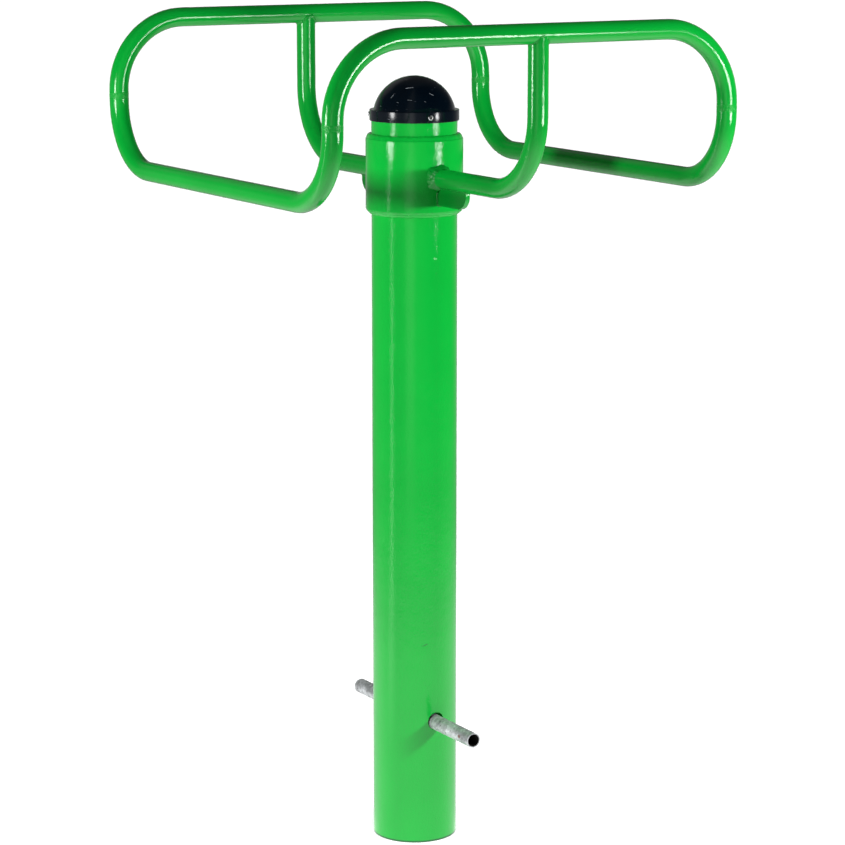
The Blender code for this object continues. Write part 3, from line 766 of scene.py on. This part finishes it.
def build_collar_weld(node, base, height, fullness, runs, seed):
    """A weld ring of one or two runs, rough with overlapping ripples under the paint."""
    steps = COLLAR_WELD_STEPS
    depth = COLLAR_RADIUS - COLLAR_BORE_RADIUS - COLLAR_WELD_INSET
    slope = []
    for step in range(steps + 1):
        share = math.sin(QUARTER * step / steps)
        slope.append((COLLAR_BORE_RADIUS + depth * share,
                      base + height * (1.0 - share ** fullness)))
    slope.append((COLLAR_RADIUS - 0.002, base))
    slope.append((COLLAR_BORE_RADIUS, base))

    def swell(index, turn):
        if index == 0 or index >= steps:
            return 0.0, 0.0
        share = math.sin(QUARTER * index / steps)
        spot = (math.cos(turn) * 0.07, math.sin(turn) * 0.07, base + share * 0.01)
        phase = COLLAR_RIPPLES * turn / TAU + 1.4 * smooth_noise(spot, 60.0, seed)
        ripple = 0.18 * abs(math.sin(math.pi * phase + 2.2 * share))
        lump = (0.75 * smooth_noise(spot, 75.0, seed + 3)
                + 0.55 * smooth_noise(spot, 230.0, seed + 5))
        bulge = COLLAR_RIPPLE_HEIGHT * abs(math.sin(math.pi * runs * share))
        bulge *= 0.70 + ripple + lump
        return bulge * 0.7, bulge * (0.8 if height > 0.0 else -0.8)

    painted(node, turned_rings(slope, COLLAR_WELD_SIDES, swell), "ring", closed=True)


def dome_arc(base_radius, base_height, top, steps):
    """A dome's outline from its top down to its base."""
    rise = top - base_height
    radius = (base_radius ** 2 + rise ** 2) / (2.0 * rise)
    centre = top - radius
    lowest = math.atan2(base_radius, base_height - centre)
    return [(max(radius * math.sin(lowest * s / steps), 0.0004),
             centre + radius * math.cos(lowest * s / steps)) for s in range(steps + 1)]


def build_cap():
    """The cap's shell: a dome, a narrow ledge round it and a skirt over the post."""
    outside = dome_arc(CAP_DOME_BASE, CAP_LEDGE, CAP_TOP, 36)
    skirt = rounded([outside[-1], (CAP_RADIUS, CAP_LEDGE), (CAP_RADIUS, CAP_BOTTOM),
                     (CAP_BORE_RADIUS, CAP_BOTTOM), (CAP_BORE_RADIUS, CAP_LEDGE - CAP_WALL)],
                    (1, 2), CAP_EDGE, 4)
    inside = dome_arc(CAP_DOME_BASE - CAP_WALL, CAP_LEDGE - CAP_WALL, CAP_TOP - CAP_WALL, 20)
    cap = skin("moulded_dome_cap", turned_rings(outside[:-1] + skirt + inside[::-1], CAP_SIDES))
    shown(cap, "dome_cap", MATERIALS["cap"])


def hexagon(radius, sides):
    """Points on a hexagon's outline, as many as a ring has, as (across, up) pairs."""
    pairs = []
    for number in range(sides):
        turn = TAU * number / sides
        reach = radius * math.cos(TAU / 12.0) / math.cos(turn % (TAU / 6.0) - TAU / 12.0)
        pairs.append((reach * math.cos(turn), reach * math.sin(turn)))
    return pairs


def build_screws():
    """Button heads, each with a hexagon socket whose inside is darkened as painted shade."""
    rim = GAP + SCREW_RIM
    top = GAP + SCREW_HEAD_HEIGHT
    crown = [(SCREW_SHANK_RADIUS, -SCREW_LENGTH), (SCREW_SHANK_RADIUS, GAP),
             (SCREW_HEAD_RADIUS, GAP), (SCREW_HEAD_RADIUS, rim)]
    for step in range(1, 7):
        turn = SCREW_CROWN_TURN * step / 6.0
        crown.append((SCREW_HEAD_RADIUS * (0.42 + 0.58 * math.cos(turn)),
                      rim + (top - rim) * math.sin(turn) / math.sin(SCREW_CROWN_TURN)))
    levels = [(circle(radius, SCREW_SIDES), height) for radius, height in crown]
    levels += [(hexagon(radius, SCREW_SIDES), top - depth) for radius, depth in SCREW_SOCKET]
    for number, degrees in enumerate(SCREW_TURNS_DEG, 1):
        turn = math.radians(degrees)
        out = Vector((math.cos(turn), math.sin(turn), 0.0))
        side = Vector((-math.sin(turn), math.cos(turn), 0.0))
        base = out * CAP_RADIUS + UP * SCREW_HEIGHT
        rings = [[base + side * across + UP * up + out * height for across, up in outline]
                 for outline, height in levels]
        screw = skin(f"plated_cap_screw_{number}", rings)
        shown(screw, f"cap_screw_{number}", MATERIALS["screw"])
        # The socket's inner faces get the painted shade
        screw.data.materials.append(MATERIALS["socket"])
        for face in screw.data.polygons:
            reach = face.center - base
            wide = (reach - out * reach.dot(out)).length
            if 0.0 < reach.dot(out) < top - 0.0004 and wide < 0.0022:
                face.material_index = 1


def build_anchor():
    """The zinc-coated tube along Y, its bore darkened as painted shade."""
    half = ANCHOR_HALF_LENGTH
    profile = rounded([(ANCHOR_BORE_RADIUS, half), (ANCHOR_RADIUS, half), (ANCHOR_RADIUS, -half),
                       (ANCHOR_BORE_RADIUS, -half)], (0, 1, 2, 3), ANCHOR_EDGE, 2)
    fine = []
    for (r0, z0), (r1, z1) in zip(profile, profile[1:] + profile[:1]):
        count = max(1, math.ceil(abs(z1 - z0) / ANCHOR_STEP))
        fine += [(r0 + (r1 - r0) * n / count, z0 + (z1 - z0) * n / count) for n in range(count)]

    def swell(index, turn):
        radius, height = fine[index]
        if radius < ANCHOR_RADIUS - 0.0006:
            return 0.0, 0.0
        spot = (math.cos(turn) * radius, math.sin(turn) * radius, height)
        return -ZINC_DENT * (0.5 + smooth_noise(spot, 160.0, 4)), 0.0

    rings = [[Vector((p.x, -ANCHOR_SHIFT - p.z, ANCHOR_HEIGHT + p.y)) for p in ring]
             for ring in turned_rings(fine, ANCHOR_SIDES, swell)]
    item = skin("zinc_anchor_tube", rings, closed=True)
    shown(item, "anchor_tube", MATERIALS["zinc"])
    # The bore's faces get the painted shade
    item.data.materials.append(MATERIALS["socket"])
    for face in item.data.polygons:
        reach = math.hypot(face.center.x, face.center.z - ANCHOR_HEIGHT)
        if reach < ANCHOR_BORE_RADIUS + 0.0003 and abs(face.center.y + ANCHOR_SHIFT) < half - 0.001:
            face.material_index = 1


def build_gusset(label, turn):
    """The plate under an arm, its outer corner round and its inner one cut off."""
    inner = COLLAR_RADIUS + GAP
    outer = COLLAR_RADIUS + GUSSET_REACH
    top = LOW_HEIGHT - TUBE_RADIUS - GAP
    bottom = LOW_HEIGHT - TUBE_RADIUS - GUSSET_DEPTH
    outline = [(inner, bottom)]
    for step in range(GUSSET_CORNER_STEPS + 1):
        angle = QUARTER * step / GUSSET_CORNER_STEPS
        outline.append((outer - GUSSET_CORNER * (1.0 - math.sin(angle)),
                        bottom + GUSSET_CORNER * (1.0 - math.cos(angle))))
    outline += [(outer, top), (inner + GUSSET_NOTCH, top), (inner, top - GUSSET_NOTCH)]
    work = bmesh.new()
    half = GUSSET_THICKNESS / 2.0
    left, right = ([work.verts.new(turn_to_side((side, -across, up), turn))
                    for across, up in outline] for side in (-half, half))
    work.faces.new(left)
    work.faces.new(list(reversed(right)))
    for number in range(len(outline)):
        after = (number + 1) % len(outline)
        work.faces.new((left[number], left[after], right[after], right[number]))
    rims = [edge for edge in work.edges if len(edge.link_faces) == 2
            and edge.calc_face_angle(0.0) > math.radians(60.0)]
    bmesh.ops.bevel(work, geom=rims, offset=GUSSET_EDGE, segments=5, affect="EDGES", profile=0.5)
    item = settled(f"painted_{label}_gusset", work)
    shown(item, label + "_gusset", MATERIALS["tube"])


def on_collar(point):
    """The same point moved along Y onto the collar's round."""
    reach = math.sqrt(max(COLLAR_RADIUS ** 2 - point.x ** 2, 0.0)) - GAP
    return Vector((point.x, math.copysign(reach, point.y), point.z))


def on_rail(point):
    """The same point moved along Z onto the high rail's round."""
    out = abs(point.y) - HALF_DEPTH
    drop = math.sqrt(max(TUBE_RADIUS ** 2 - out ** 2, 0.0))
    return Vector((point.x, point.y, HIGH_HEIGHT - drop + RAIL_GAP))


def build_side(label, turn, left, right, seed, rail_leg, rail_rough):
    """One top rail with the low rail at its left, their arm and all the welds between them."""
    def path_of(corners, radius):
        return bent_path([turn_to_side(corner, turn) for corner in corners], radius)

    across = turn_to_side((1.0, 0.0, 0.0), turn)
    ahead = turn_to_side((0.0, 1.0, 0.0), turn)
    corner = (-HALF_WIDTH, -HALF_DEPTH)
    for node, end, joint, level, bend, flat in (
            (label + "_top_rail", (HALF_WIDTH, -HALF_DEPTH), JOINT_HEIGHT + CORNER_GAP,
             HIGH_HEIGHT, HIGH_BEND, ahead),
            (left + "_low_rail", (-HALF_WIDTH, HALF_DEPTH), JOINT_HEIGHT - CORNER_GAP,
             LOW_HEIGHT, LOW_BEND, across)):
        path = path_of([(*corner, joint), (*corner, level), (*end, level), (*end, joint)], bend)
        build_tube(node, path, flat)
    path = path_of([(0.0, -COLLAR_RADIUS, LOW_HEIGHT), (0.0, -HALF_DEPTH, LOW_HEIGHT),
                    (0.0, -HALF_DEPTH, HIGH_HEIGHT - TUBE_RADIUS)], ARM_BEND)
    build_tube(label + "_arm", path, across, (on_collar, on_rail))
    build_gusset(label, turn)
    for side, sign in ((left, -1.0), (right, 1.0)):
        build_corner_weld(f"{label}_{side}_corner_weld",
                          turn_to_side((sign * HALF_WIDTH, -HALF_DEPTH, JOINT_HEIGHT), turn),
                          seed + sign)
    build_fillet(label + "_arm_root_weld", root_sections(turn, seed), seed, 0.55, 0.10)
    build_fillet(label + "_rail_weld", rail_sections(turn, seed + 2, rail_leg), seed + 2,
                 rail_rough, 0.16)
    build_gusset_beads(label, turn, seed)


def build_corner_weld(node, centre, seed):
    """A butt weld dressed nearly flush: a low swelling with pits and faint ripples left in it."""
    half = CORNER_WELD_HALF
    rings = []
    for step in range(CORNER_WELD_STEPS + 1):
        share = step / CORNER_WELD_STEPS
        level = UP * half * (1.0 - 2.0 * share)
        crown = CORNER_WELD_RISE * math.sin(math.pi * share) ** 2
        ring = []
        for across, ahead in circle(1.0, CORNER_WELD_SIDES):
            way = Vector((across, ahead, 0.0))
            spot = centre + way * TUBE_RADIUS + level
            lump = (0.5 + 0.8 * smooth_noise(spot, 130.0, seed)
                    + 0.4 * smooth_noise(spot, 420.0, seed + 2))
            rise = crown * min(max(0.3 + lump * 0.7, 0.0), 1.0)
            ring.append(centre + way * (TUBE_RADIUS - CORNER_WELD_INSET + rise) + level)
        rings.append(ring)
    for level in (-half, half):
        rings.append([centre + Vector((across, ahead, level))
                      for across, ahead in circle(CORNER_WELD_BORE_RADIUS, CORNER_WELD_SIDES)])
    painted(node, rings, "dressed", closed=True)


def build_fillet(node, sections, seed, rough, fullness):
    """A weld fillet: each section is (toe on one piece, toe on the other, hidden root)."""
    rings = []
    for first, second, root in sections:
        chord = second - first
        outward = ((first + second) / 2.0 - root).normalized()
        outward = (outward - chord.normalized() * outward.dot(chord.normalized())).normalized()
        ring = [first]
        for step in range(1, FILLET_STEPS):
            share = step / FILLET_STEPS
            spot = first + chord * share
            lump = rough * (smooth_noise(spot, 110.0, seed + 3)
                            + 0.7 * smooth_noise(spot, 380.0, seed))
            swell = chord.length * fullness * math.sin(math.pi * share) * (0.6 + lump)
            ring.append(spot + outward * swell * (0.5 + 0.9 * share))
        rings.append(ring + [second, root])
    painted(node, rings, "weld", closed=True)


def wander(spot, seed, low, high):
    """A leg length that changes along the weld between low and high, with a ragged edge."""
    drift = 0.5 + 0.9 * smooth_noise(spot, 90.0, seed) + 0.40 * smooth_noise(spot, 230.0, seed + 1)
    return low + (high - low) * min(max(drift, 0.0), 1.0)


def root_sections(turn, seed, count=300):
    """Where the arm's tube runs into the collar's round."""
    def on_round(wide, angle, radius, out=0.0):
        across = wide * math.cos(angle)
        return Vector((across, -math.sqrt(radius ** 2 - across ** 2) - out,
                       LOW_HEIGHT + wide * math.sin(angle)))

    sections = []
    for number in range(count):
        angle = TAU * number / count
        spot = Vector((math.cos(angle), math.sin(angle), 0.0)) * 0.022
        on_tube = wander(spot, seed + 5, 0.0110, 0.0150)
        along_collar = wander(spot, seed + 9, 0.0048, 0.0092)
        if math.sin(angle) < -0.75:
            along_collar = min(along_collar, 0.0050)
        section = (on_round(TUBE_RADIUS + TOE_LIFT, angle, COLLAR_RADIUS, on_tube),
                   on_round(TUBE_RADIUS + along_collar, angle, COLLAR_RADIUS + TOE_LIFT),
                   on_round(TUBE_RADIUS - ROOT_DEPTH, angle, COLLAR_RADIUS - ROOT_DEPTH))
        sections.append(tuple(turn_to_side(point, turn) for point in section))
    return sections


def rail_sections(turn, seed, longest, count=200):
    """Where the arm's upper end runs into the high rail from below."""
    steepest = 0.985
    round_tube = TUBE_RADIUS + TOE_LIFT
    sections = []
    for number in range(count):
        angle = TAU * number / count
        cos, sin = math.cos(angle), math.sin(angle)
        spot = Vector((cos, sin, 1.0)) * 0.02
        on_arm = wander(spot, seed + 5, longest * 0.5, longest)
        along_rail = wander(spot, seed + 9, longest * 0.5, longest * 0.95)

        def on_round(wide, radius, lower):
            out = min(wide * abs(sin), radius * steepest)
            return Vector((wide * cos, -HALF_DEPTH + wide * sin,
                           HIGH_HEIGHT - math.sqrt(radius ** 2 - out ** 2) - lower))

        lean = math.asin(steepest * abs(sin)) + along_rail / TUBE_RADIUS * abs(sin)
        lean = math.copysign(lean, sin)
        second = Vector(((TUBE_RADIUS + along_rail) * cos,
                         -HALF_DEPTH + round_tube * math.sin(lean),
                         HIGH_HEIGHT - round_tube * math.cos(lean)))
        section = (on_round(round_tube, round_tube, on_arm), second,
                   on_round(TUBE_RADIUS - ROOT_DEPTH, TUBE_RADIUS - 0.0006, 0.0))
        sections.append(tuple(turn_to_side(point, turn) for point in section))
    return sections


def build_gusset_beads(label, turn, seed):
    """The beads that hold the plate: on the collar, and under the arm."""
    over = 0.0002
    beside = GUSSET_THICKNESS / 2.0 + over
    top = LOW_HEIGHT - TUBE_RADIUS - 0.0040
    bottom = LOW_HEIGHT - TUBE_RADIUS - GUSSET_DEPTH - over
    reach = COLLAR_RADIUS + over
    loop = bent_path([(beside, 0.0, top), (beside, 0.0, bottom), (-beside, 0.0, bottom),
                      (-beside, 0.0, top)], beside * 0.8, 6)
    path = [turn_to_side((p.x, -math.sqrt(reach ** 2 - p.x ** 2), p.z), turn) for p in loop]
    build_bead(label + "_gusset_collar_weld", path, GUSSET_COLLAR_BEAD_RADIUS, seed + 23, 0.45)
    near = COLLAR_RADIUS + 0.0040
    far = COLLAR_RADIUS + GUSSET_REACH + over
    drop = TUBE_RADIUS - over
    loop = bent_path([(beside, -near, 0.0), (beside, -far, 0.0), (-beside, -far, 0.0),
                      (-beside, -near, 0.0)], beside * 0.8, 6)
    path = [turn_to_side((p.x, p.y, LOW_HEIGHT - math.sqrt(drop ** 2 - p.x ** 2)), turn)
            for p in loop]
    build_bead(label + "_gusset_arm_weld", path, GUSSET_ARM_BEAD_RADIUS, seed + 37, 0.3)


# Studio

def lamp(name, spot, aim, wide, high, radiance, in_gloss, shape="RECTANGLE"):
    """A soft lamp that either lights the surfaces or only shows in their gloss."""
    data = bpy.data.lights.new(name, "AREA")
    data.shape = shape
    data.size = wide
    data.size_y = high
    area = wide * high * (math.pi / 4.0 if shape == "ELLIPSE" else 1.0)
    data.energy = 4.0 * area * radiance
    item = bpy.data.objects.new(name, data)
    bpy.context.scene.collection.objects.link(item)
    item.location = spot
    item.rotation_euler = (Vector(aim) - Vector(spot)).to_track_quat("-Z", "Y").to_euler()
    item.visible_camera = False
    item.visible_diffuse = not in_gloss
    item.visible_glossy = in_gloss
    item.visible_transmission = in_gloss
    return item


def build_lamps():
    """Two keys and an overhead light the object; the others show only as lines in its gloss."""
    lamp("left key", (-2.00, -0.08, 1.265), LAMP_AIM, 0.20, 0.24, 190.0, False)
    lamp("right key", around(64.0, 2.03, 1.17), LAMP_AIM, 0.22, 0.22, 225.0, False)
    lamp("overhead", (0.0, -0.2, 3.4), LAMP_AIM, 2.4, 2.4, 0.32, False)
    lamp("left stand", around(-62.3, 1.70, 0.52), (0.0, 0.0, 0.52), 0.05, 0.85, 7.0, True)
    lamp("right sliver", around(41.7, 2.6, 0.91), LAMP_AIM, 0.03, 0.08, 12.0, True)
    post_pieces = bpy.data.collections.new("post pieces")
    for name in ("painted_post", "painted_collar", "moulded_dome_cap", "plated_cap_screw_1",
                 "painted_collar_weld_upper", "painted_collar_weld_lower"):
        post_pieces.objects.link(bpy.data.objects[name])
    tube_pieces = bpy.data.collections.new("tube pieces")
    for item in bpy.context.scene.collection.objects:
        own = item.name.startswith(("painted_", "plated_", "zinc_"))
        if own and item.name not in post_pieces.objects:
            tube_pieces.objects.link(item)
    left_spot = (-1.70, -0.07, 1.245)
    for name, spot, wide, high, radiance, receivers in (
            ("left streak on the post", left_spot, 0.30, 0.43, 17.0, post_pieces),
            ("left streak on the tubes", left_spot, 0.44, 0.43, 20.0, tube_pieces),
            ("right streak on the post", (0.967, -1.751, 1.10), 0.25, 0.33, 26.0, post_pieces),
            ("right streak on the tubes", (0.74, -1.80, 0.98), 0.66, 0.34, 22.0, tube_pieces)):
        streak = lamp(name, spot, LAMP_AIM, wide, high, radiance, True, "ELLIPSE")
        streak.light_linking.receiver_collection = receivers


def far_tone(tree, way):
    """The studio far away: a pale screen ahead, dim to the left, dark to the right."""
    right = towards(tree, way, 77.0, 35.0, 60.0)
    ahead = towards(tree, way, -11.0, 6.0, 15.0)
    back = towards(tree, way, 180.0, 20.0, 45.0)
    tone = plus(tree, spread(tree, right, 0.0, 1.0, 0.20, 0.06), times(tree, ahead, 0.66))
    return plus(tree, tone, times(tree, back, 0.18))


def pale_patch(tree, where, turn_deg, distance, long, wide, hard=0.35):
    """A soft oval on the floor, 1 in its middle, at a turn and distance from the post."""
    spot = around(turn_deg, distance, 0.0)
    local = place(tree, "Mapping",
                  {"Vector": where, "Location": spot,
                   "Rotation": (0.0, 0.0, math.atan2(spot.y, spot.x)), "Scale": (long, wide, 1.0)},
                  vector_type="TEXTURE")
    away = arrow(tree, "LENGTH", {0: local.outputs[0]}, "Value")
    return spread(tree, away, hard, 1.0, 1.0, 0.0)


def white_light(tree, kind, strength):
    return place(tree, kind, {"Color": (1.0, 1.0, 1.0, 1.0), "Strength": strength}).outputs[0]


def choose(tree, share, first, second):
    """The first shader where the share is 0, the second where it is 1."""
    return place(tree, "MixShader", {0: share, 1: first, 2: second}).outputs[0]


def seen_straight(tree, path):
    """1 for rays from the camera and for rays that go through something clear."""
    return calc(tree, "MAXIMUM", path["Is Camera Ray"], path["Is Transmission Ray"])


def build_floor():
    """A pale floor: what it looks like, what it reflects in the gloss, what it bounces back."""
    work = bmesh.new()
    bmesh.ops.create_circle(work, cap_ends=True, segments=96, radius=FLOOR_RADIUS)
    floor = settled("studio_floor", work)
    floor.location = (0.0, 0.0, -FLOOR_DROP)
    material = bpy.data.materials.new("studio floor")
    material.use_nodes = True
    tree = material.node_tree
    tree.nodes.remove(tree.nodes["Principled BSDF"])
    path = tree.nodes.new("ShaderNodeLightPath").outputs
    where = tree.nodes.new("ShaderNodeNewGeometry").outputs["Position"]
    away = arrow(tree, "LENGTH", {0: where}, "Value")
    behind = towards(tree, where, 180.0, 30.0, 80.0)
    near = times(tree, spread(tree, away, 1.15, 2.3, 1.55, 0.50),
                 spread(tree, behind, 0.0, 1.0, 1.0, 0.60))
    tone = between(tree, spread(tree, away, 2.3, 4.6), near, far_tone(tree, where))
    patch = pale_patch(tree, where, -66.0, 1.6, 1.0, 0.30)
    tone = plus(tree, tone, times(tree, patch, 1.1))
    left = towards(tree, where, -75.0, 20.0, 150.0)
    soft = times(tree, spread(tree, away, 0.45, 1.15, 0.86, 0.42),
                 spread(tree, left, 0.0, 1.0, 0.72, 1.35))
    tone = times(tree, tone, between(tree, path["Is Diffuse Ray"], 1.0, soft))
    white = place(tree, "BsdfDiffuse", {"Color": FLOOR_WHITE}).outputs[0]
    lift = white_light(tree, "Emission", FLOOR_LIFT)
    seen = place(tree, "AddShader", {0: white, 1: lift}).outputs[0]
    mix = choose(tree, seen_straight(tree, path), white_light(tree, "Emission", tone), seen)
    wire(tree, tree.nodes["Material Output"], {"Surface": mix})
    floor.data.materials.append(material)
    only_floor = bpy.data.collections.new("floor only")
    only_floor.objects.link(floor)
    data = bpy.data.lights.new("floor light", "SUN")
    data.energy = FLOOR_SUN
    data.angle = math.radians(FLOOR_SUN_SPREAD_DEG)
    sun = bpy.data.objects.new("floor light", data)
    bpy.context.scene.collection.objects.link(sun)
    sun.rotation_euler = [math.radians(tilt) for tilt in FLOOR_SUN_TILT_DEG]
    sun.light_linking.receiver_collection = only_floor


def build_world():
    """White to the camera, graded walls to the gloss, a faint fill to everything else."""
    world = bpy.data.worlds.new("studio")
    bpy.context.scene.world = world
    world.use_nodes = True
    tree = world.node_tree
    tree.nodes.clear()
    path = tree.nodes.new("ShaderNodeLightPath").outputs
    where = tree.nodes.new("ShaderNodeTexCoord").outputs["Generated"]
    height = height_of(tree, where)
    wall = times(tree, far_tone(tree, where), spread(tree, height, 0.06, 0.26, 1.0, 0.15))
    screen = times(tree, towards(tree, where, -150.0, 12.0, 28.0),
                   spread(tree, height, 0.58, 0.75, 0.14, 0.0))
    gloss = white_light(tree, "Background", plus(tree, wall, screen))
    soft = choose(tree, path["Is Glossy Ray"], white_light(tree, "Background", FAINT_FILL), gloss)
    mix = choose(tree, seen_straight(tree, path), soft, white_light(tree, "Background", 1.0))
    wire(tree, tree.nodes.new("ShaderNodeOutputWorld"), {"Surface": mix})


def build_camera():
    """A plain camera held level, with no shift and nothing out of focus."""
    data = bpy.data.cameras.new("camera")
    data.lens = CAMERA_LENS
    data.sensor_width = SENSOR_WIDTH
    camera = bpy.data.objects.new("camera", data)
    bpy.context.scene.collection.objects.link(camera)
    camera.location = CAMERA_PLACE
    camera.rotation_euler = (QUARTER - math.radians(CAMERA_PITCH_DEG), 0.0, -VIEW_TURN)
    bpy.context.scene.camera = camera


build_post()
build_collar()
build_collar_weld("collar_weld_upper", COLLAR_TOP, UPPER_WELD_HEIGHT, 2.2, 1, 2)
build_collar_weld("collar_weld_lower", COLLAR_BOTTOM, -LOWER_WELD_HEIGHT, 1.0, 2, 6)
build_cap()
build_screws()
build_anchor()
build_side("front", 0.0, "left", "right", 10, 0.0020, 0.25)
build_side("rear", math.pi, "right", "left", 60, 0.0036, 2.6)
build_lamps()
build_floor()
build_world()
build_camera()
bpy.context.scene.view_settings.view_transform = "Standard"
